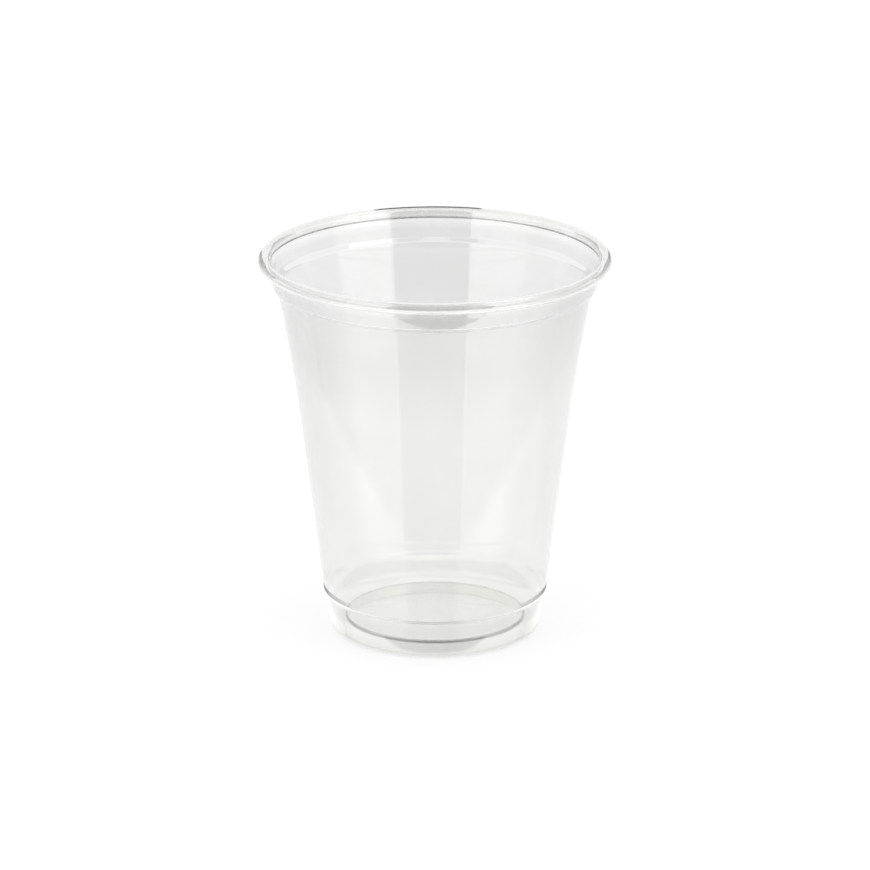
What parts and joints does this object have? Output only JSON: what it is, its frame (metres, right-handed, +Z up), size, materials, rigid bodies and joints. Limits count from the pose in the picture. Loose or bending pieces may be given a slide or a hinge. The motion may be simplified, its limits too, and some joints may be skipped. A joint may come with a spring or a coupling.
{
  "type": "disposable cup",
  "caption": "Clear thin-walled disposable cup with a rolled rim, a stacking ledge in the neck, tapered sides and a stepped foot with a raised floor.",
  "frame": {"origin": "centre of the ring that the cup stands on, in the plane of the table", "axes": "+Z up along the cup's axis, out of the mouth; X and Y are free, because the cup is round"},
  "size_m": [0.098, 0.098, 0.109],
  "materials": {
    "clear_plastic": "clear, glossy"
  },
  "bodies": {
    "root": {"cup": "clear_plastic"}
  },
  "joints": []
}
